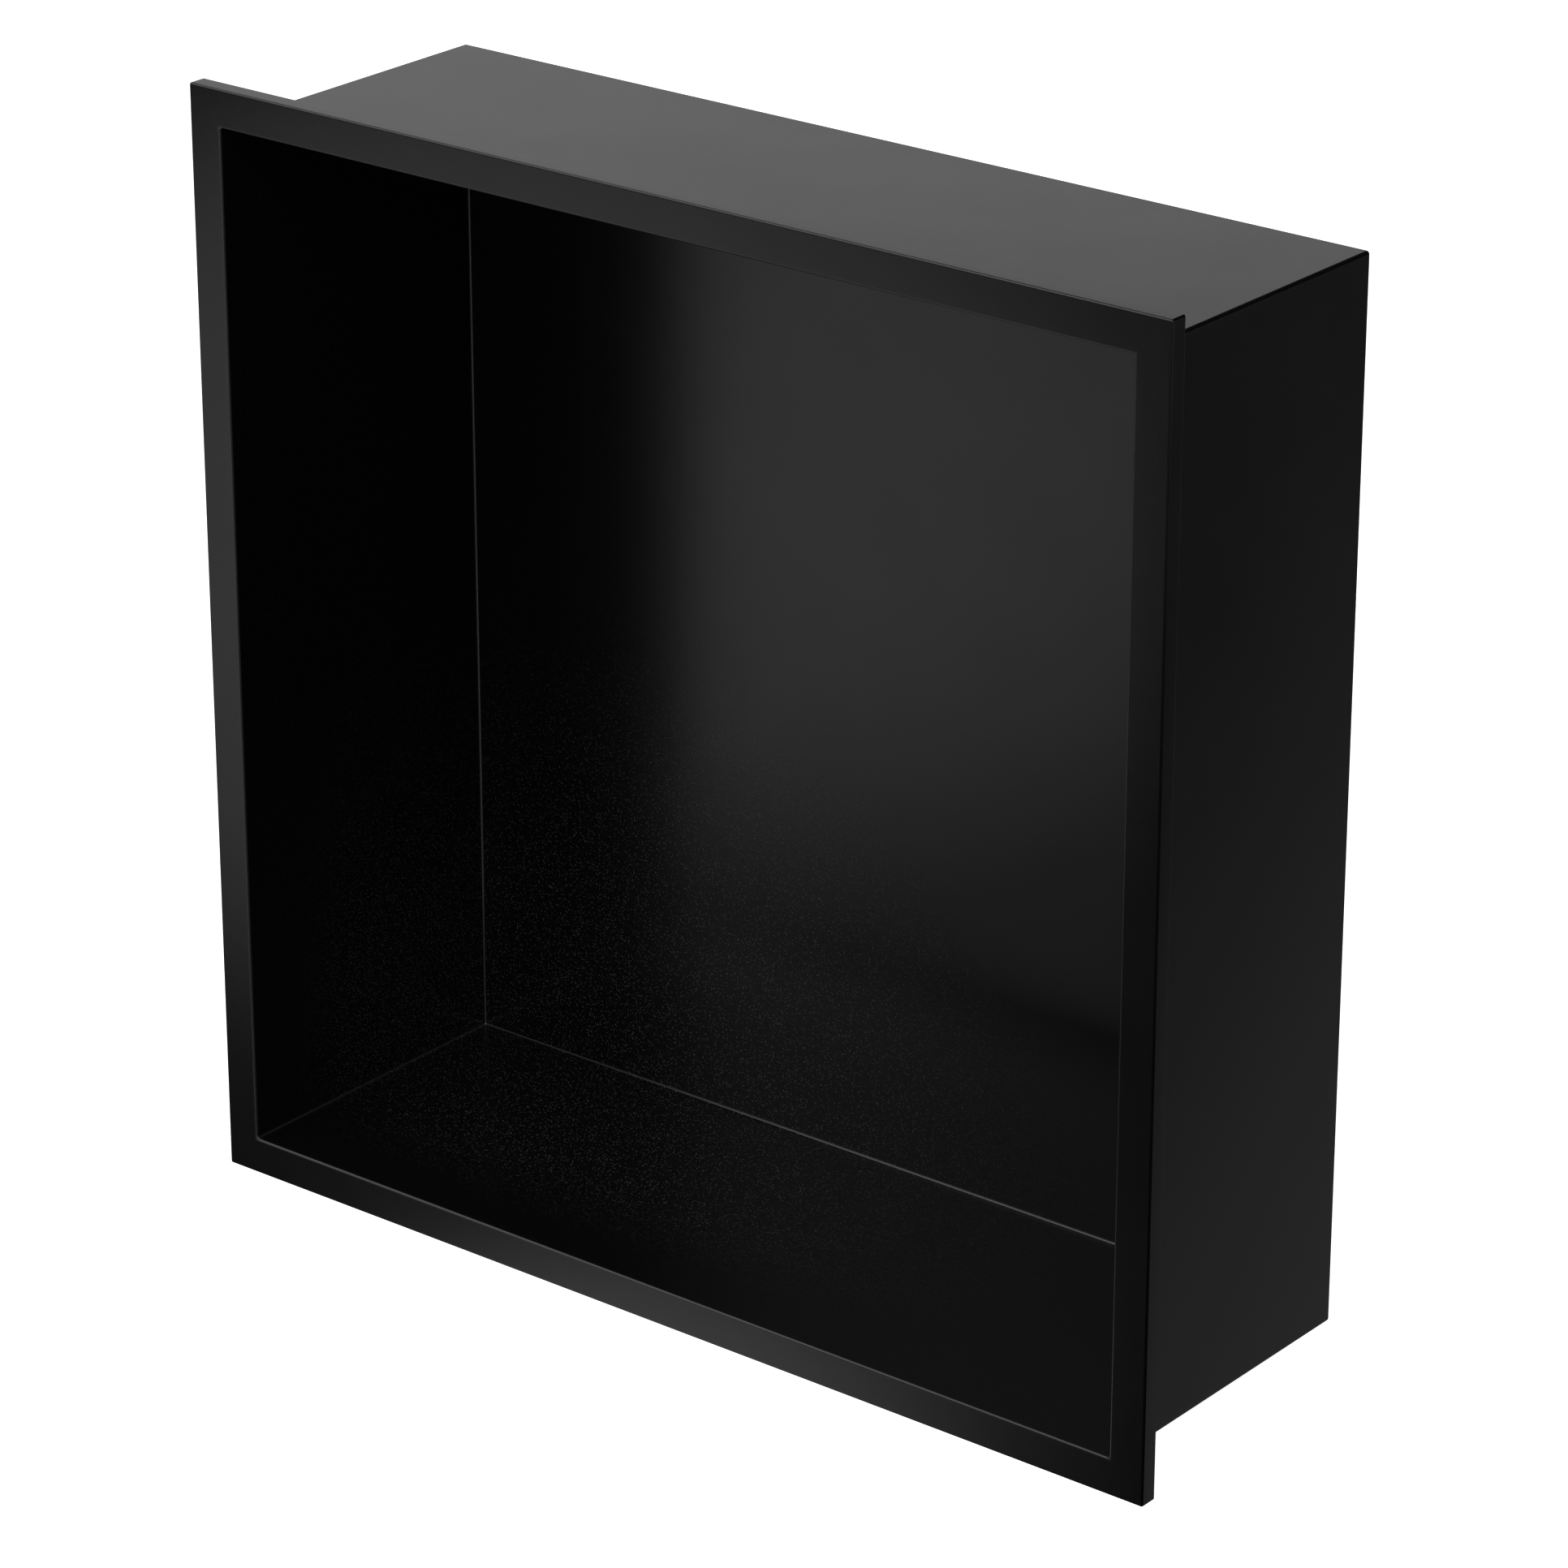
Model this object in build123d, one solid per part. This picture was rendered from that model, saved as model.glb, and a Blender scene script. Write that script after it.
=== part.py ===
"""Recessed shower niche: a square steel box for a wall cut-out, with a folded flange round its mouth.

The box is one strip of sheet folded round four long corners, with a back panel welded in and ground flush.
The front of the strip is folded outwards into a flange, and the flange's outer edge is folded back as a lip
that stands on the finished wall. Welded and coated, it is one piece.

Frame: X to the right and Z up as seen from the room, Y into the wall. The origin is the centre of the plane
in which the lip meets the wall.
"""

import os

from build123d import *

# Driving dimensions, in millimetres
OPENING_WIDTH = 304.8  # clear width between the side walls, a nominal 12 in niche
OPENING_HEIGHT = 304.8  # clear height between the sill and the head
OVERALL_DEPTH = 101.6  # flange face to the outside of the back panel, a nominal 4 in niche
SHEET = 1.0  # thickness of the steel sheet
FLANGE_BORDER = 11.0  # from the clear opening to the flange's outer edge
LIP_DEPTH = 5.5  # return lip, from the flange face to the finished wall
FOLD_RADIUS = 0.6  # outside radius of the grooved folds at the opening, the lip and its mitres
CORNER_INSIDE_RADIUS = 1.0  # inside radius of the box's four long corners, their grooves filled by weld
CORNER_OUTSIDE_RADIUS = 1.0  # outside radius of those corners, tight because they are grooved before folding
WELD_RADIUS = 1.0  # fillet inside the box, where the back panel is welded to the walls
GROUND_RADIUS = 0.4  # outside edge of the back panel, ground after welding

# Sizes that follow from the driving dimensions
FLANGE_WIDTH = OPENING_WIDTH + 2 * FLANGE_BORDER
FLANGE_HEIGHT = OPENING_HEIGHT + 2 * FLANGE_BORDER
BOX_WIDTH = OPENING_WIDTH + 2 * SHEET
BOX_HEIGHT = OPENING_HEIGHT + 2 * SHEET

# Depths along Y, from the room into the wall
WALL_Y = 0.0
FACE_Y = WALL_Y - LIP_DEPTH
BACK_Y = FACE_Y + OVERALL_DEPTH

# Sketches lie parallel to the wall, and their normal points into it
WALL_PLANE = Plane(origin=(0, WALL_Y, 0), x_dir=(1, 0, 0), z_dir=(0, 1, 0))


def block(outline, start_y, end_y):
    """The outline, parallel to the wall, carried from one depth to another."""
    return extrude(WALL_PLANE.offset(start_y - WALL_Y) * outline, amount=end_y - start_y)


def front_face(solid):
    """The face nearest the room."""
    return solid.faces().sort_by(Axis.Y)[0]


def back_face(solid):
    """The face deepest in the wall."""
    return solid.faces().sort_by(Axis.Y)[-1]


def flange_pan():
    """Flange and return lip: a shallow pan, open towards the wall, with mitred and welded corners."""
    pan = block(Rectangle(FLANGE_WIDTH, FLANGE_HEIGHT), FACE_Y, WALL_Y)
    mitres = pan.edges().filter_by(Axis.Y)
    folds = front_face(pan).edges()
    pan = fillet(mitres + folds, FOLD_RADIUS)
    inside = Rectangle(FLANGE_WIDTH - 2 * SHEET, FLANGE_HEIGHT - 2 * SHEET)
    return pan - block(inside, FACE_Y + SHEET, WALL_Y)


def box_outside():
    """Outside of the folded strip, closed at the back by the ground edge of the back panel."""
    box = block(RectangleRounded(BOX_WIDTH, BOX_HEIGHT, CORNER_OUTSIDE_RADIUS), FACE_Y, BACK_Y)
    return fillet(back_face(box).edges(), GROUND_RADIUS)


def recess():
    """The space that things stand in: the inside of the strip, as far as the welded back panel."""
    opening = RectangleRounded(OPENING_WIDTH, OPENING_HEIGHT, CORNER_INSIDE_RADIUS)
    space = block(opening, FACE_Y, BACK_Y - SHEET)
    return fillet(back_face(space).edges(), WELD_RADIUS)


def niche_shell():
    """The whole niche, with the fold round its mouth where the walls turn out into the flange."""
    shell = flange_pan() + box_outside() - recess()
    mouth = front_face(shell).inner_wires()[0].edges()
    return fillet(mouth, FOLD_RADIUS)


shell = niche_shell()
shell.label = "niche_shell"
os.makedirs("parts", exist_ok=True)
export_step(shell, "parts/niche_shell.step")
size = shell.bounding_box().size
print(f"niche_shell: {size.X:.1f} x {size.Y:.1f} x {size.Z:.1f} mm, {shell.volume:.0f} mm3")
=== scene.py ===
# %% [markdown]
# # A recessed shower niche in satin black
#
# A shower niche is a steel box that is let into a bathroom wall. Only its slim flange lies on the
# tiles, and bottles stand in the recess. This one is folded from a single thickness of sheet, welded at
# the back, ground smooth and coated black. The lesson builds the shell as one closed mesh, gives it its
# coat, and lights it as a dark glossy product is lit: with large soft lights that show as reflections.
#
# The imported solid comes first. It is the frame: every size and place below is measured from it, in
# metres, with X to the right, Z up and Y into the wall. Its box is kept.

# %% Load the imported model
import itertools
import math

import bmesh
import bpy
from mathutils import Matrix, Quaternion, Vector


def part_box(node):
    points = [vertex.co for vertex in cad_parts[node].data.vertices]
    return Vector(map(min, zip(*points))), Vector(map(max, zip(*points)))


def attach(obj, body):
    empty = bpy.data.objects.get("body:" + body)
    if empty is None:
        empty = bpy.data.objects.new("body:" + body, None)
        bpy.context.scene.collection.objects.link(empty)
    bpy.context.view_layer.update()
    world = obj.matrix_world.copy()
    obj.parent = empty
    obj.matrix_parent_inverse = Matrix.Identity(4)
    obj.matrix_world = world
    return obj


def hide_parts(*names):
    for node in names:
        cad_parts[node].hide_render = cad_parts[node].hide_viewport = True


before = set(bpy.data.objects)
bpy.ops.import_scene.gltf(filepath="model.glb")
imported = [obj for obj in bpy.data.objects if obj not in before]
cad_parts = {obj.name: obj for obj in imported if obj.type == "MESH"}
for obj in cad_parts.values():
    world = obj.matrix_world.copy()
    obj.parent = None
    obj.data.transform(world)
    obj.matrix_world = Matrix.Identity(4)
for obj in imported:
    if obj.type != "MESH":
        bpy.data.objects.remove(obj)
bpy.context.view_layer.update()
shell_low, shell_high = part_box("niche_shell")
MM = 0.001
print("niche, in mm:", [round(side / MM, 1) for side in shell_high - shell_low])

# %% [markdown]
# ## The camera
#
# A product picture is often taken from far away with a long lens, so that upright edges stay nearly
# parallel. The camera could be placed by eye. Here it is described as a photographer would say it:
# where it aims, how far away it stands, how far round to the right and how high it is, and which lens
# it has. The horizon is level.

# %% Place the camera
CAMERA_AIM = Vector((0.0246, 0.0182, -0.0020))
CAMERA_DISTANCE = 1.636
CAMERA_AZIMUTH = 38.58
CAMERA_ELEVATION = 22.78
CAMERA_LENS = 140.5


def direction(azimuth, elevation):
    """Unit vector from the niche, by angles in degrees: azimuth 0 is out into the room, 90 to the right."""
    turn = math.radians(azimuth)
    rise = math.radians(elevation)
    return Vector((math.sin(turn) * math.cos(rise), -math.cos(turn) * math.cos(rise), math.sin(rise)))


camera = bpy.data.objects.new("camera", bpy.data.cameras.new("camera"))
bpy.context.scene.collection.objects.link(camera)
bpy.context.scene.camera = camera
towards_camera = direction(CAMERA_AZIMUTH, CAMERA_ELEVATION)
camera.data.lens = CAMERA_LENS
camera.location = CAMERA_AIM + CAMERA_DISTANCE * towards_camera
camera.rotation_euler = (-towards_camera).to_track_quat("-Z", "Y").to_euler()
print("camera at", [round(x, 3) for x in camera.location])

# %% [markdown]
# ## The folded shell
#
# On the real niche the sheet runs on without a break: it comes out of the recess, folds over the mouth
# into the flange, folds back into the lip, and the box behind is the other side of the same sheet. A
# Solidify modifier on an open shell could give the thickness, but it leaves every fold the same. Here
# the outline of the sheet is followed as a bench worker would follow it with a finger. The mesh starts
# as one square with rounded corners, the back of the recess. Its open rim is then extruded, in turn
# along the depth or in its own plane, until it closes behind the back. Each square has the corner
# radius that its part of the sheet has.

# %% Sizes of the sheet
SHEET = 1.0 * MM
FLANGE_BORDER = 11.0 * MM
FOLD_RADIUS = 0.6 * MM
CORNER_INSIDE_RADIUS = 1.0 * MM
CORNER_OUTSIDE_RADIUS = 1.0 * MM
WELD_RADIUS = 1.0 * MM
GROUND_RADIUS = 0.4 * MM
LIP_INSIDE_RADIUS = 0.3 * MM
COATED_EDGE_RADIUS = 0.2 * MM

FLANGE_HALF = shell_high.x
LIP_INSIDE_HALF = FLANGE_HALF - SHEET
OPENING_HALF = FLANGE_HALF - FLANGE_BORDER
BOX_HALF = OPENING_HALF + SHEET
FACE_Y = shell_low.y
WALL_Y = 0.0
BACK_Y = shell_high.y
FLANGE_REAR_Y = FACE_Y + SHEET
RECESS_BACK_Y = BACK_Y - SHEET
print("opening, in mm:", round(2 * OPENING_HALF / MM, 1))


# %% Two ways to carry the open rim on
def extrude_rim(bm):
    """New vertices all along the open rim, still in the rim's place."""
    rim = [edge for edge in bm.edges if edge.is_boundary]
    made = bmesh.ops.extrude_edge_only(bm, edges=rim)["geom"]
    return [part for part in made if isinstance(part, bmesh.types.BMVert)]


def run_to_depth(bm, depth):
    """A stretch of sheet along the depth of the niche."""
    rim = extrude_rim(bm)
    bmesh.ops.translate(bm, verts=rim, vec=(0, depth - rim[0].co.y, 0))


def step_to_half(bm, half, radius):
    """A stretch of sheet parallel to the wall, to a square of this half width and corner radius."""
    rim = extrude_rim(bm)
    for side_x, side_z in itertools.product((-1, 1), repeat=2):
        corner = [v for v in rim if v.co.x * side_x > 0 and v.co.z * side_z > 0]
        half_now = max(abs(v.co.x) for v in corner)
        radius_now = half_now - min(abs(v.co.x) for v in corner)
        outwards = Vector((side_x, 0, side_z))
        centre_now = outwards * (half_now - radius_now)
        share = radius / radius_now
        bmesh.ops.scale(bm, verts=corner, vec=(share, 1, share), space=Matrix.Translation(-centre_now))
        bmesh.ops.translate(bm, verts=corner, vec=outwards * (half - radius) - centre_now)


# %% Follow the sheet from the recess to the back
CORNER_SEGMENTS = 8

shell = bmesh.new()
bmesh.ops.create_grid(shell, x_segments=1, y_segments=1, size=OPENING_HALF)
bmesh.ops.bevel(
    shell, geom=shell.verts[:], offset=CORNER_INSIDE_RADIUS, offset_type="OFFSET", affect="VERTICES",
    segments=CORNER_SEGMENTS, profile=0.5, material=-1,
)
bmesh.ops.rotate(shell, verts=shell.verts, matrix=Matrix.Rotation(math.pi / 2, 3, "X"))
bmesh.ops.translate(shell, verts=shell.verts, vec=(0, RECESS_BACK_Y, 0))
run_to_depth(shell, FACE_Y)
step_to_half(shell, FLANGE_HALF, FOLD_RADIUS)
run_to_depth(shell, WALL_Y)
step_to_half(shell, LIP_INSIDE_HALF, LIP_INSIDE_RADIUS)
run_to_depth(shell, FLANGE_REAR_Y)
step_to_half(shell, BOX_HALF, CORNER_OUTSIDE_RADIUS)
run_to_depth(shell, BACK_Y)
bmesh.ops.contextual_create(shell, geom=[edge for edge in shell.edges if edge.is_boundary])
bmesh.ops.recalc_face_normals(shell, faces=shell.faces)
print("sharp shell:", len(shell.faces), "faces, volume in mm3", round(shell.calc_volume() / MM**3))

# %% [markdown]
# ## Folds and welds
#
# The thin bright lines on a black niche are its rounded edges: each one is a narrow mirror that finds a
# light somewhere. So every loop of edges gets the radius that its making gives it. The mouth and the
# flange's edge are V-grooved before they are folded, which leaves them tight. The back is welded in and
# ground. On the weld and the mouth, painted highlight lines in the coat add to them.
#
# A Bevel modifier would round all edges alike, so the bevel operator is used on one loop of edges at a
# time. The loops are picked by where they lie, because every bevel makes new edges.

# %% Round one loop of edges
SAME_DEPTH = 0.01 * MM
NEAR_SQUARE = 0.45 * MM
SAME_POINT = 0.005 * MM


def loop_at(bm, depth, half):
    """The edges of one square loop: all at this depth, and near a square of this half width."""
    def lies_on(vertex):
        reach = max(abs(vertex.co.x), abs(vertex.co.z))
        return abs(vertex.co.y - depth) < SAME_DEPTH and abs(reach - half) < NEAR_SQUARE

    return [edge for edge in bm.edges if all(lies_on(vertex) for vertex in edge.verts)]


def round_loop(bm, name, depth, half, radius, segments):
    """Round one loop to a radius, and merge the points that meet where a corner is just as tight."""
    edges = loop_at(bm, depth, half)
    bmesh.ops.bevel(
        bm, geom=edges, offset=radius, offset_type="OFFSET", affect="EDGES",
        segments=segments, profile=0.5, material=-1, clamp_overlap=True,
    )
    bmesh.ops.remove_doubles(bm, verts=bm.verts, dist=SAME_POINT)
    print(f"{name}: {len(edges)} edges rounded to {radius / MM:.1f} mm")


# %% Round every loop
FOLD_SEGMENTS = 6
EDGE_SEGMENTS = 3

round_loop(shell, "welded back", RECESS_BACK_Y, OPENING_HALF, WELD_RADIUS, FOLD_SEGMENTS)
round_loop(shell, "mouth", FACE_Y, OPENING_HALF, FOLD_RADIUS, FOLD_SEGMENTS)
round_loop(shell, "flange edge", FACE_Y, FLANGE_HALF, FOLD_RADIUS, FOLD_SEGMENTS)
round_loop(shell, "ground back", BACK_Y, BOX_HALF, GROUND_RADIUS, FOLD_SEGMENTS)
round_loop(shell, "lip's outer edge", WALL_Y, FLANGE_HALF, COATED_EDGE_RADIUS, EDGE_SEGMENTS)
round_loop(shell, "lip's inner edge", WALL_Y, LIP_INSIDE_HALF, COATED_EDGE_RADIUS, EDGE_SEGMENTS)
round_loop(shell, "channel by the lip", FLANGE_REAR_Y, LIP_INSIDE_HALF, COATED_EDGE_RADIUS, EDGE_SEGMENTS)
round_loop(shell, "channel by the box", FLANGE_REAR_Y, BOX_HALF, COATED_EDGE_RADIUS, EDGE_SEGMENTS)
open_edges = [edge for edge in shell.edges if not edge.is_manifold]
print("rounded shell:", len(shell.faces), "faces,", len(open_edges), "open edges")

# %% [markdown]
# ## One object for the whole niche
#
# Welded and coated, the real niche is one piece, so the mesh becomes one object that stands in for the
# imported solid. Smooth shading lets the few facets of each rounded edge read as a curve, but it would
# also bend the light across the large flat faces. Those could be split off with sharp edges. A Weighted
# Normal modifier is simpler: the large faces win, so they stay flat and only the narrow rounded edges
# turn.

# %% Make it an object
LARGE_FACES_WIN = 100

shell_mesh = bpy.data.meshes.new("folded_shell")
shell.to_mesh(shell_mesh)
shell.free()
shell_mesh.shade_smooth()
folded_shell = bpy.data.objects.new("folded_shell", shell_mesh)
bpy.context.scene.collection.objects.link(folded_shell)
flat_faces_stay_flat = folded_shell.modifiers.new("flat_faces_stay_flat", "WEIGHTED_NORMAL")
flat_faces_stay_flat.weight = LARGE_FACES_WIN
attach(folded_shell, "root")
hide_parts("niche_shell")
print("folded shell:", len(shell_mesh.vertices), "vertices")

# %% [markdown]
# ## The black coat
#
# The real finish is a satin black coat, sprayed on as powder and baked. Such a coat is a dielectric:
# almost all the light that comes back is a soft reflection, and the colour below is close to black. A
# flat black would look like a hole, so the coat gets what a hand lens would show, and a few painted
# glints and painted highlight lines besides.
#
# All of it could be painted as images. Here it is procedural, in object coordinates, so that each
# effect has a real size in millimetres and never stretches. Each one is a node group that gives one
# value over the surface, and a few helpers keep the groups short.


# %% Helpers for shader nodes
def value_group(name, output):
    """A node group with one value as its output, and the place on the object that it starts from."""
    group = bpy.data.node_groups.new(name, "ShaderNodeTree")
    group.interface.new_socket(output, in_out="OUTPUT", socket_type="NodeSocketFloat")
    place = group.nodes.new("ShaderNodeTexCoord").outputs["Object"]
    return group, place


def close_group(group, value):
    """Give this value as the group's output."""
    end = group.nodes.new("NodeGroupOutput")
    group.links.new(value, end.inputs[0])


def calculate(tree, operation, *values):
    """A Math node on numbers or on the outputs of other nodes."""
    node = tree.nodes.new("ShaderNodeMath")
    node.operation = operation
    for socket, value in zip(node.inputs, values):
        if isinstance(value, bpy.types.NodeSocket):
            tree.links.new(value, socket)
        else:
            socket.default_value = value
    return node.outputs["Value"]


def remap(tree, value, start, end, to_start, to_end, smooth=False):
    """A Map Range node, which carries start..end over to to_start..to_end and stays within them."""
    node = tree.nodes.new("ShaderNodeMapRange")
    node.interpolation_type = "SMOOTHSTEP" if smooth else "LINEAR"
    tree.links.new(value, node.inputs["Value"])
    node.inputs["From Min"].default_value = start
    node.inputs["From Max"].default_value = end
    node.inputs["To Min"].default_value = to_start
    node.inputs["To Max"].default_value = to_end
    return node.outputs["Result"]


def split_axes(tree, place):
    """X, Y and Z of a place."""
    node = tree.nodes.new("ShaderNodeSeparateXYZ")
    tree.links.new(place, node.inputs["Vector"])
    return node.outputs["X"], node.outputs["Y"], node.outputs["Z"]


def noise(tree, place, grain_size, detail):
    """Soft noise with grains of about this size."""
    node = tree.nodes.new("ShaderNodeTexNoise")
    node.inputs["Scale"].default_value = 1 / grain_size
    node.inputs["Detail"].default_value = detail
    tree.links.new(place, node.inputs["Vector"])
    return node.outputs["Fac"]


# %% [markdown]
# ### Grain and orange peel
#
# Baked powder is never quite level. It keeps a fine grain from the powder and a slow wave, called
# orange peel, from the way it flowed. Both are far too shallow to model, a hundredth of a millimetre,
# so they are added up as one height for a Bump node. They only take the hardness off the reflections.

# %% Grain and orange peel
GRAIN_SIZE = 0.4 * MM
GRAIN_HEIGHT = 0.010 * MM
GRAIN_DETAIL = 2.0
PEEL_SIZE = 3.5 * MM
PEEL_HEIGHT = 0.010 * MM
PEEL_DETAIL = 1.0

grain_group, place = value_group("powder_grain", "Height")
grain = noise(grain_group, place, GRAIN_SIZE, GRAIN_DETAIL)
peel = noise(grain_group, place, PEEL_SIZE, PEEL_DETAIL)
peel_to_grain = calculate(grain_group, "MULTIPLY", peel, PEEL_HEIGHT / GRAIN_HEIGHT)
close_group(grain_group, calculate(grain_group, "ADD", grain, peel_to_grain))
print("powder grain:", GRAIN_SIZE / MM, "mm wide; orange peel:", PEEL_SIZE / MM, "mm wide")

# %% [markdown]
# ### Painted glints in the deep corner
#
# The lower left of the recess shows tiny specks of light, most of all on the sill and least on the left
# wall, and the rest of the coat has hardly any. They are painted into the coat's colour as pale flecks:
# painted glints. They could be scattered as little discs. A Voronoi texture does it without any
# geometry: each of its cells has one point for a fleck, and a random colour of its own that says how
# pale the fleck is. The sheet is thin, so the outside of the box lies close to that corner too. Two of
# the masks keep the flecks on the inside.

# %% A pattern of flecks
FLECK_SPACING = 0.55 * MM
FLECK_RADIUS_IN_SPACINGS = 0.5
FLECK_SHARE = 0.6

# The flecks made here are painted glints: pale colour that stands in for specks of light.
glint_group, place = value_group("painted_glint_flecks", "Fleck")
cells = glint_group.nodes.new("ShaderNodeTexVoronoi")
cells.inputs["Scale"].default_value = 1 / FLECK_SPACING
glint_group.links.new(place, cells.inputs["Vector"])
draw = glint_group.nodes.new("ShaderNodeSeparateColor")
glint_group.links.new(cells.outputs["Color"], draw.inputs["Color"])
paleness = remap(glint_group, draw.outputs["Red"], 1 - FLECK_SHARE, 1.0, 0.0, 1.0)
from_point = cells.outputs["Distance"]
inside_fleck = remap(glint_group, from_point, 0.0, FLECK_RADIUS_IN_SPACINGS, 1.0, 0.0, smooth=True)
fleck = calculate(glint_group, "MULTIPLY", paleness, inside_fleck)
print("flecks:", round(FLECK_SPACING / MM, 2), "mm apart, in", FLECK_SHARE, "of the cells")

# %% Where the painted glints gather
GLINTS_CENTRE = Vector((-OPENING_HALF + 70 * MM, RECESS_BACK_Y - 30 * MM, -OPENING_HALF))
GLINTS_CORE = 10 * MM
GLINTS_REACH = 190 * MM
GLINTS_DEPTH = 40 * MM
GLINTS_ON_UPRIGHTS = 0.85
GLINTS_ON_LEFT_WALL = 0.7
FLECKS_ELSEWHERE = 0.05

from_glints_centre = glint_group.nodes.new("ShaderNodeVectorMath")
from_glints_centre.operation = "DISTANCE"
glint_group.links.new(place, from_glints_centre.inputs[0])
from_glints_centre.inputs[1].default_value = GLINTS_CENTRE
away = from_glints_centre.outputs["Value"]
near = remap(glint_group, away, GLINTS_CORE, GLINTS_REACH, 1.0, 0.0, smooth=True)
across, into_wall, height = split_axes(glint_group, place)
deep = remap(glint_group, into_wall, 0.0, GLINTS_DEPTH, 0.0, 1.0, smooth=True)
off_weld = -OPENING_HALF + WELD_RADIUS
fewer_on_uprights = remap(glint_group, height, -OPENING_HALF, off_weld, 1.0, GLINTS_ON_UPRIGHTS)
fewer_on_left_wall = remap(glint_group, across, -OPENING_HALF, off_weld, GLINTS_ON_LEFT_WALL, 1.0)
across = calculate(glint_group, "ABSOLUTE", across)
height = calculate(glint_group, "ABSOLUTE", height)
reach = calculate(glint_group, "MAXIMUM", across, height)
inside_walls = remap(glint_group, reach, OPENING_HALF, BOX_HALF, 1.0, 0.0)
inside_back = remap(glint_group, into_wall, RECESS_BACK_Y, BACK_Y, 1.0, 0.0)
in_corner = near
for mask in (deep, fewer_on_uprights, fewer_on_left_wall, inside_walls, inside_back):
    in_corner = calculate(glint_group, "MULTIPLY", in_corner, mask)
glint_amount = calculate(glint_group, "MAXIMUM", in_corner, FLECKS_ELSEWHERE)
close_group(glint_group, calculate(glint_group, "MULTIPLY", fleck, glint_amount))
centre = [round(x / MM) for x in GLINTS_CENTRE]
print("dry spray fades out", round(GLINTS_REACH / MM), "mm from", centre)

# %% [markdown]
# ### Duller and glossier places
#
# A baked coat is a little duller where it is thick and a little glossier where it flowed well, in
# patches as wide as a thumb. One slow noise is enough. It moves the roughness by a twentieth, so that
# the reflections are not quite as even as on plastic.

# %% Duller and glossier places
MOTTLE_SIZE = 30.0 * MM
MOTTLE_DETAIL = 3.0

mottle_group, place = value_group("gloss_mottle", "Mottle")
close_group(mottle_group, noise(mottle_group, place, MOTTLE_SIZE, MOTTLE_DETAIL))
print("patches of gloss:", round(MOTTLE_SIZE / MM), "mm wide")

# %% [markdown]
# ### Painted highlight lines along the weld and the mouth
#
# The weld at the back of the recess and the fold of the mouth show fine pale lines where their rounded
# edges catch the light. These lines are painted into the coat's colour as grey: painted highlights, a
# narrow line on the weld, a broader one on the mouth and a faint one on the long corners. The lines
# could be painted by hand along the edges. Here they are found from the distances to the faces that meet
# there, with a sign, so that the outside of the box is left plain.

# %% Distances to the faces of the recess
# The grey lines made here are painted highlights along the weld, the mouth and the long corners.
highlight_group, place = value_group("painted_highlight_lines", "Highlight")
across, into_wall, height = split_axes(highlight_group, place)
across = calculate(highlight_group, "ABSOLUTE", across)
height = calculate(highlight_group, "ABSOLUTE", height)
reach = calculate(highlight_group, "MAXIMUM", across, height)
from_walls = calculate(highlight_group, "SUBTRACT", OPENING_HALF, reach)
from_back = calculate(highlight_group, "SUBTRACT", RECESS_BACK_Y, into_wall)


def apart(tree, value, number):
    """How far a value is from a number, either way."""
    return calculate(tree, "ABSOLUTE", calculate(tree, "SUBTRACT", value, number))


off_walls = apart(highlight_group, reach, OPENING_HALF)
off_sides = apart(highlight_group, across, OPENING_HALF)
off_sill = apart(highlight_group, height, OPENING_HALF)
off_face = apart(highlight_group, into_wall, FACE_Y)
print("recess: half", round(OPENING_HALF / MM, 1), "mm wide, back at", round(RECESS_BACK_Y / MM, 1), "mm")

# %% The narrow line on the weld
WELD_LINE_TOWARDS_BACK = 0.2 * WELD_RADIUS
WELD_LINE_CORE = 0.15 * WELD_RADIUS
WELD_LINE_EDGE = 0.45 * WELD_RADIUS

lean = calculate(highlight_group, "SUBTRACT", from_walls, from_back)
off_line = apart(highlight_group, lean, WELD_LINE_TOWARDS_BACK)
on_line = remap(highlight_group, off_line, WELD_LINE_CORE, WELD_LINE_EDGE, 1.0, 0.0, smooth=True)
inside_box = remap(highlight_group, from_back, -SHEET, 0.0, 0.0, 1.0)
weld = calculate(highlight_group, "MULTIPLY", on_line, inside_box)
print("weld line:", round(2 * WELD_LINE_EDGE / MM, 1), "mm wide at most")

# %% The mouth and the long corners
# How strong the painted highlight line is on each kind of edge.
WELD_HIGHLIGHT = 1.0
MOUTH_HIGHLIGHT = 0.9
CORNER_HIGHLIGHT = 0.1
LINE_CORE_IN_RADII = 0.4
LINE_EDGE_IN_RADII = 1.5


def line_mask(tree, off_a, off_b, radius):
    """1 on a rounded edge of this radius, 0 a little beyond it, from the distances to its two faces."""
    farther = calculate(tree, "MAXIMUM", off_a, off_b)
    core = LINE_CORE_IN_RADII * radius
    edge = LINE_EDGE_IN_RADII * radius
    return remap(tree, farther, core, edge, 1.0, 0.0, smooth=True)


mouth = line_mask(highlight_group, off_walls, off_face, FOLD_RADIUS)
corner = line_mask(highlight_group, off_sides, off_sill, CORNER_INSIDE_RADIUS)
edge_highlight = calculate(highlight_group, "MULTIPLY", weld, WELD_HIGHLIGHT)
for mask, share in ((mouth, MOUTH_HIGHLIGHT), (corner, CORNER_HIGHLIGHT)):
    edge_highlight = calculate(highlight_group, "MAXIMUM", edge_highlight, calculate(highlight_group, "MULTIPLY", mask, share))
close_group(highlight_group, edge_highlight)
print("thin coat: weld", WELD_HIGHLIGHT, "mouth", MOUTH_HIGHLIGHT, "long corners", CORNER_HIGHLIGHT)
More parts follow.
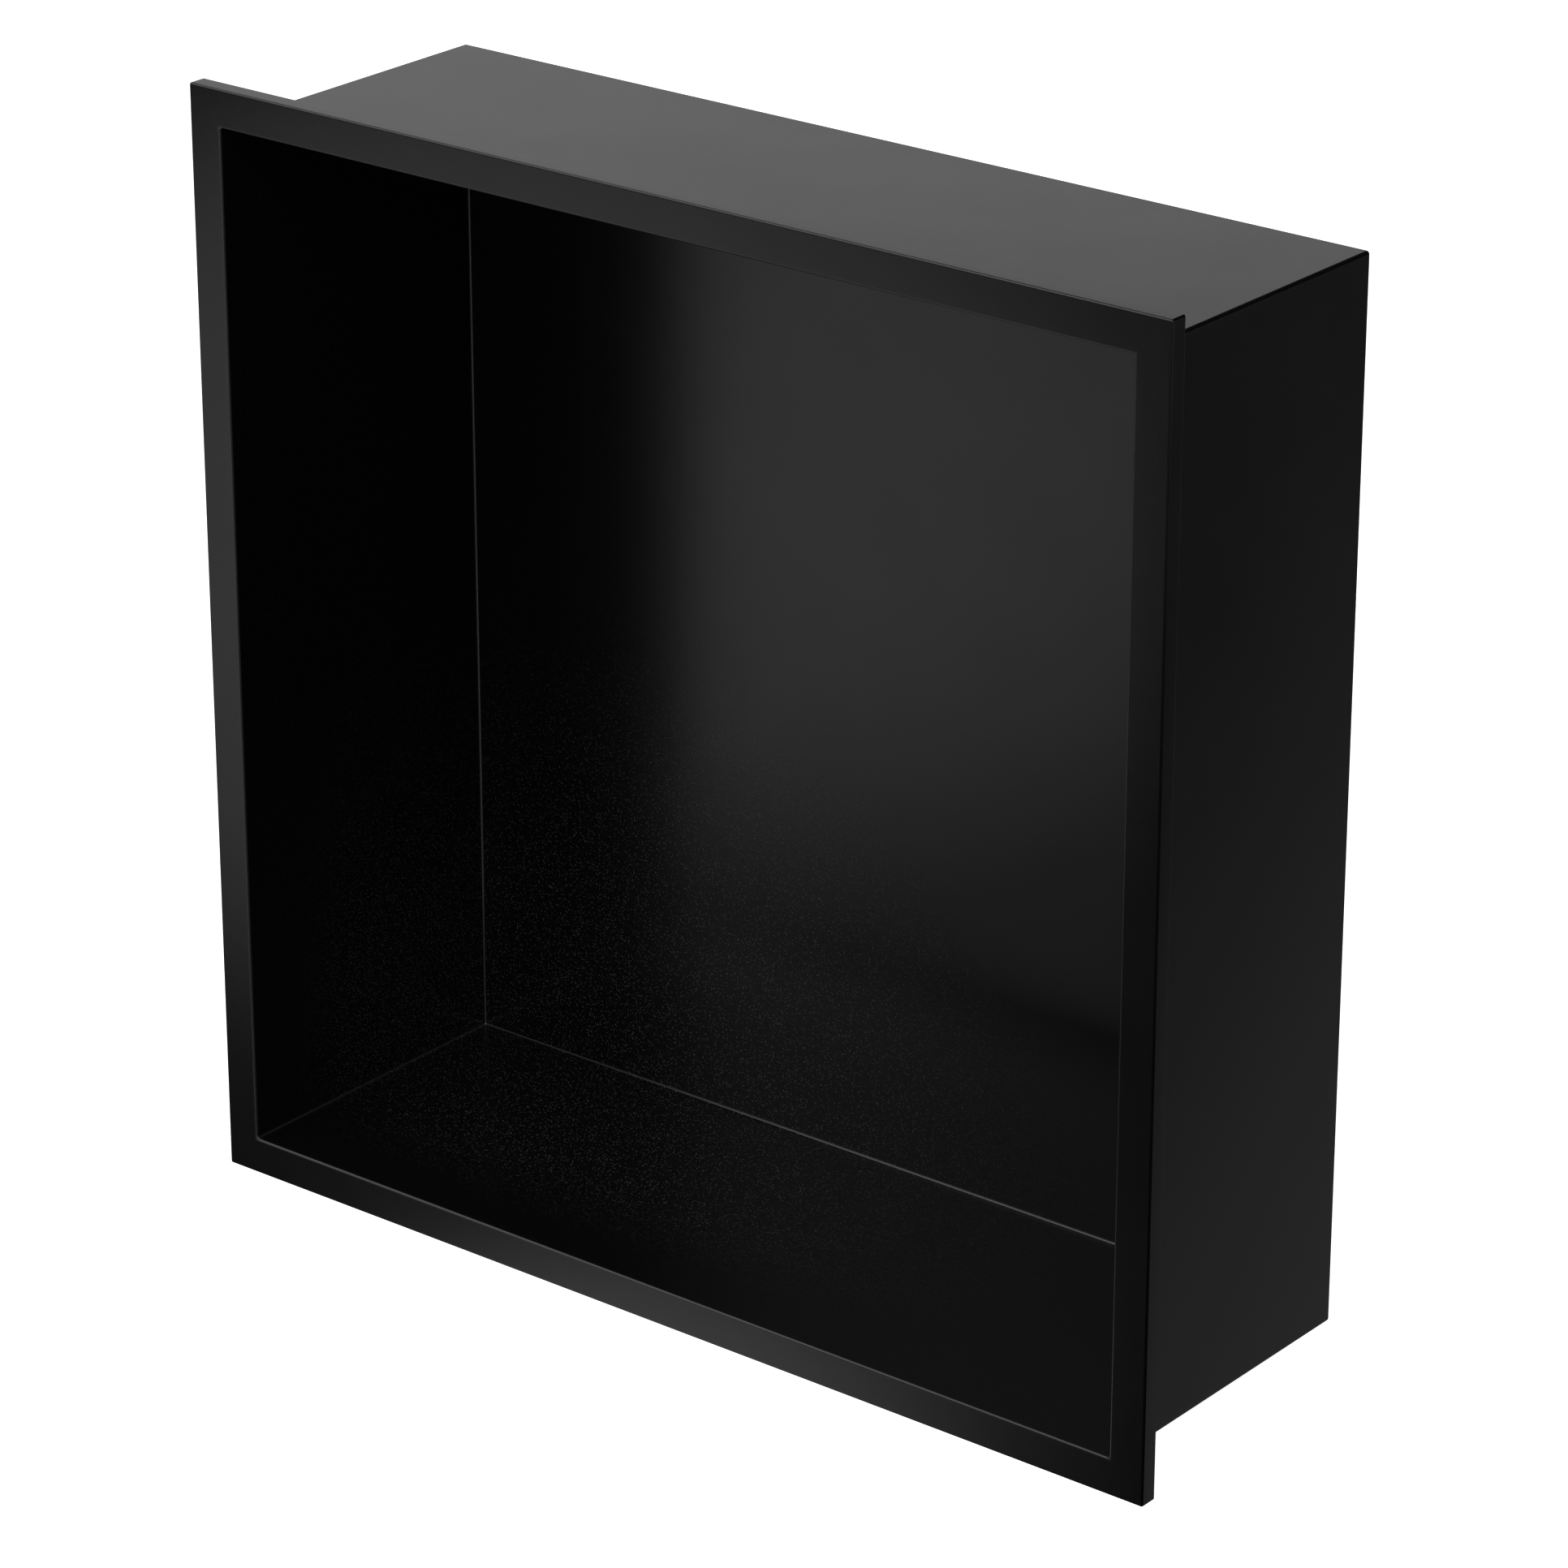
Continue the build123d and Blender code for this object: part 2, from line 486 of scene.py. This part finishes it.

# %% [markdown]
# ### Put the coat together
#
# One Principled shader is the whole coat. Its index of refraction is that of a hard resin, and its
# roughness makes the lights show as soft patches instead of clear pictures. Only the values that change
# over the surface come from the node groups: the painted glints and the painted highlight lines change
# the colour, the mottle changes the roughness, and the grain bends the normal.

# %% Put the coat together
COAT_IOR = 1.5
COAT_ROUGHNESS = 0.25
MOTTLE_ROUGHNESS = 0.012
MOTTLE_LOW = 0.25
MOTTLE_HIGH = 0.75
COAT_BLACK = (0.002, 0.002, 0.002, 1.0)
# The grey of the painted glints in the lower left of the recess.
PAINTED_GLINT_GREY = (0.17, 0.17, 0.17, 1.0)
# The grey of the painted highlight lines along the weld and the mouth.
PAINTED_HIGHLIGHT_GREY = (0.030, 0.030, 0.030, 1.0)

coat = bpy.data.materials.new("black_coat")
coat.use_nodes = True
coat_tree = coat.node_tree
coat_shader = coat_tree.nodes["Principled BSDF"]
coat_shader.inputs["IOR"].default_value = COAT_IOR


def use_group(tree, group):
    """A node that uses this group, by its one output."""
    node = tree.nodes.new("ShaderNodeGroup")
    node.node_tree = group
    return node.outputs[0]


def blend(tree, share, first, second):
    """A colour between two, by a value from 0 to 1."""
    node = tree.nodes.new("ShaderNodeMix")
    node.data_type = "RGBA"
    tree.links.new(share, node.inputs["Factor"])
    for socket, colour in ((node.inputs["A"], first), (node.inputs["B"], second)):
        if isinstance(colour, bpy.types.NodeSocket):
            tree.links.new(colour, socket)
        else:
            socket.default_value = colour
    return node.outputs["Result"]


# Painted glints laid into the base colour, as pale flecks in the corner.
glinted = blend(coat_tree, use_group(coat_tree, glint_group), COAT_BLACK, PAINTED_GLINT_GREY)
# Painted highlight lines laid over it, along the weld and the mouth.
highlighted = blend(coat_tree, use_group(coat_tree, highlight_group), glinted, PAINTED_HIGHLIGHT_GREY)
coat_tree.links.new(highlighted, coat_shader.inputs["Base Color"])
duller = COAT_ROUGHNESS + MOTTLE_ROUGHNESS
glossier = COAT_ROUGHNESS - MOTTLE_ROUGHNESS
mottle = use_group(coat_tree, mottle_group)
roughness = remap(coat_tree, mottle, MOTTLE_LOW, MOTTLE_HIGH, glossier, duller)
coat_tree.links.new(roughness, coat_shader.inputs["Roughness"])
relief = coat_tree.nodes.new("ShaderNodeBump")
relief.inputs["Distance"].default_value = GRAIN_HEIGHT
coat_tree.links.new(use_group(coat_tree, grain_group), relief.inputs["Height"])
coat_tree.links.new(relief.outputs["Normal"], coat_shader.inputs["Normal"])
shell_mesh.materials.append(coat)
print("coat: roughness", round(glossier, 3), "to", round(duller, 3))

# %% [markdown]
# ## The floor
#
# The niche stands on a plain pale floor that is burnt out to white, as in a catalogue picture. A white
# floor of its own would shine into every black face, so it is hidden from reflections and casts no
# shadow: only the camera sees it. From below it is clear, so that the underside can be looked at too.

# %% Floor
FLOOR_Z = shell_low.z
FLOOR_HALF = 6.0
FLOOR_PAINT = (0.8, 0.8, 0.8, 1.0)
FLOOR_ROUGHNESS = 0.9
WHITE = (1.0, 1.0, 1.0, 1.0)

floor_form = bmesh.new()
bmesh.ops.create_grid(floor_form, x_segments=1, y_segments=1, size=FLOOR_HALF)
bmesh.ops.translate(floor_form, verts=floor_form.verts, vec=(0, 0, FLOOR_Z))
floor_mesh = bpy.data.meshes.new("floor")
floor_form.to_mesh(floor_mesh)
floor_form.free()
floor = bpy.data.objects.new("floor", floor_mesh)
bpy.context.scene.collection.objects.link(floor)
floor.visible_glossy = False
floor.visible_diffuse = False
floor.visible_shadow = False
print("floor at", round(FLOOR_Z / MM, 1), "mm")

# %% Paint the floor
floor_paint = bpy.data.materials.new("floor_paint")
floor_paint.use_nodes = True
floor_tree = floor_paint.node_tree
floor_shader = floor_tree.nodes["Principled BSDF"]
floor_shader.inputs["Base Color"].default_value = FLOOR_PAINT
floor_shader.inputs["Roughness"].default_value = FLOOR_ROUGHNESS
floor_shader.inputs["Specular IOR Level"].default_value = 0.0
floor_shader.inputs["Emission Color"].default_value = WHITE
floor_shader.inputs["Emission Strength"].default_value = 1.0
seen_from = floor_tree.nodes.new("ShaderNodeNewGeometry")
clear = floor_tree.nodes.new("ShaderNodeBsdfTransparent")
one_sided = floor_tree.nodes.new("ShaderNodeMixShader")
floor_tree.links.new(seen_from.outputs["Backfacing"], one_sided.inputs["Fac"])
floor_tree.links.new(floor_shader.outputs["BSDF"], one_sided.inputs[1])
floor_tree.links.new(clear.outputs["BSDF"], one_sided.inputs[2])
floor_tree.links.new(one_sided.outputs["Shader"], floor_tree.nodes["Material Output"].inputs["Surface"])
floor_mesh.materials.append(floor_paint)
print("floor paint: white from above, clear from below")

# %% [markdown]
# ## White behind, dark in the reflections
#
# A photographer hangs white paper behind a product and black cloth round it, so that a black face stays
# black except where a light is meant to show. The world does both here. A Light Path node tells the two
# apart: what the camera sees directly is white, and what the coat reflects is almost dark. The Standard
# view keeps the colours as they are worked out, without a film curve.

# %% World
ROOM_DARK = (0.005, 0.005, 0.005, 1.0)

world = bpy.data.worlds.new("studio")
bpy.context.scene.world = world
world.use_nodes = True
world.cycles.sampling_method = "NONE"
world_tree = world.node_tree
world_tree.nodes.clear()
light_path = world_tree.nodes.new("ShaderNodeLightPath")
paper = world_tree.nodes.new("ShaderNodeBackground")
paper.inputs["Color"].default_value = WHITE
cloth = world_tree.nodes.new("ShaderNodeBackground")
cloth.inputs["Color"].default_value = ROOM_DARK
surround = world_tree.nodes.new("ShaderNodeMixShader")
world_out = world_tree.nodes.new("ShaderNodeOutputWorld")
world_tree.links.new(light_path.outputs["Is Camera Ray"], surround.inputs["Fac"])
world_tree.links.new(cloth.outputs["Background"], surround.inputs[1])
world_tree.links.new(paper.outputs["Background"], surround.inputs[2])
world_tree.links.new(surround.outputs["Shader"], world_out.inputs["Surface"])
bpy.context.scene.view_settings.view_transform = "Standard"
print("world: white paper, dark cloth at", ROOM_DARK[0])

# %% [markdown]
# ## Softboxes
#
# A black coat has no brightness of its own. Each face shows the light that stands where the face
# mirrors the camera, so the lights are placed by that rule: a wide panel low behind the box for its
# top, large panels for the folds, two discs in front for the flange and the recess, a tall disc behind
# for the side. Point lights would show as hard dots, so area lights are used. Their edges, blurred by
# the satin coat, are the slow gradients across the flat faces.
#
# A light is described by where it is seen from the niche, how large it is, and how bright its surface
# is. The camera itself does not see any of them.

# %% Softboxes
WATTS_PER_AREA = 4  # power of an area light, for each square metre and each unit of brightness


def softbox(name, azimuth, elevation, distance, width, height, brightness, twist=0, shape="RECTANGLE"):
    """A soft light, seen from the niche in this direction, that faces the niche."""
    lamp = bpy.data.lights.new(name, "AREA")
    lamp.shape = shape
    lamp.size = width
    lamp.size_y = height
    area = width * height * (math.pi / 4 if shape == "ELLIPSE" else 1)
    lamp.energy = brightness * WATTS_PER_AREA * area
    light = bpy.data.objects.new(name, lamp)
    bpy.context.scene.collection.objects.link(light)
    towards = direction(azimuth, elevation)
    light.location = distance * towards
    facing = (-towards).to_track_quat("-Z", "Y")
    light.rotation_euler = (facing @ Quaternion((0, 0, 1), -math.radians(twist))).to_euler()
    light.visible_camera = False
    print(f"{name}: {width:.2f} x {height:.2f} m, brightness {brightness}")
    return light


# %% Lights for the top and the folds
softbox("top_sheen", azimuth=-140.5, elevation=15, distance=2.5, width=2.9, height=0.95, brightness=0.54)
softbox("fold_fill", azimuth=-122, elevation=42, distance=2.0, width=1.1, height=0.9, brightness=0.4)
softbox("key", azimuth=-50, elevation=48, distance=2.0, width=1.6, height=1.1, brightness=1.7)
softbox("key_low", azimuth=-42, elevation=20, distance=2.0, width=1.4, height=0.8, brightness=0.65)
softbox("front_right", azimuth=38, elevation=40, distance=2.0, width=1.4, height=1.2, brightness=2.3)

# %% Lights for the flange, the recess and the side
softbox(
    "front_disc", azimuth=-44.0, elevation=-14.0, distance=0.633, width=0.422, height=0.348,
    brightness=0.545, twist=3.5, shape="ELLIPSE")
softbox(
    "low_disc", azimuth=-45.4, elevation=-48.5, distance=0.602, width=0.264, height=0.194,
    brightness=0.9, twist=-18.9, shape="ELLIPSE")
softbox(
    "side_disc", azimuth=155.6, elevation=-31.5, distance=1.5, width=0.736, height=2.878,
    brightness=0.195, twist=22.0, shape="ELLIPSE")

# %% [markdown]
# ### Lights for the other sides
#
# The lights so far suit one camera. Walked round, the niche would turn into a black shape, because its
# other faces mirror the dark cloth. Four low panels and one overhead give most of those faces something
# to show. They stand where no large face mirrors them to the first camera, so its picture hardly
# changes.

# %% Low panels all round and one overhead
LOW_PANEL_ELEVATION = -4
LOW_PANEL_DISTANCE = 1.5
LOW_PANEL_HEIGHT = 0.4
LOW_PANEL_BRIGHTNESS = 0.5

low_panels = (
    ("front_low", 18, 1.7),
    ("right_low", 105, 1.75),
    ("rear_low", 185, 1.0),
    ("left_low", -115, 1.8),
)
for panel, azimuth, width in low_panels:
    softbox(
        panel, azimuth, LOW_PANEL_ELEVATION, LOW_PANEL_DISTANCE,
        width, LOW_PANEL_HEIGHT, LOW_PANEL_BRIGHTNESS)
softbox("overhead", azimuth=180, elevation=83, distance=1.6, width=1.2, height=1.2, brightness=0.6)

# %% [markdown]
# ### A strip for the deep corner
#
# The upright weld at the back left of the recess shows as a fine pale line, brightest in its upper
# half. A weak strip light does that if its spread is kept narrow, as with a grid in front of a real
# one: it then reaches the upper part of that corner and little else.

# %% A strip light with a grid
STRIP_AZIMUTH = 10
STRIP_ELEVATION = -22.8
STRIP_DISTANCE = 0.8
STRIP_HEIGHT_ON_WELD = 0.11
GRID_SPREAD = 40

strip = softbox(
    "corner_strip", STRIP_AZIMUTH, STRIP_ELEVATION, STRIP_DISTANCE,
    width=0.16, height=0.45, brightness=0.05)
strip_aim = Vector((-OPENING_HALF, RECESS_BACK_Y, STRIP_HEIGHT_ON_WELD))
strip.location = strip_aim + STRIP_DISTANCE * direction(STRIP_AZIMUTH, STRIP_ELEVATION)
strip.data.spread = math.radians(GRID_SPREAD)
print("strip aims at", [round(x / MM) for x in strip_aim])
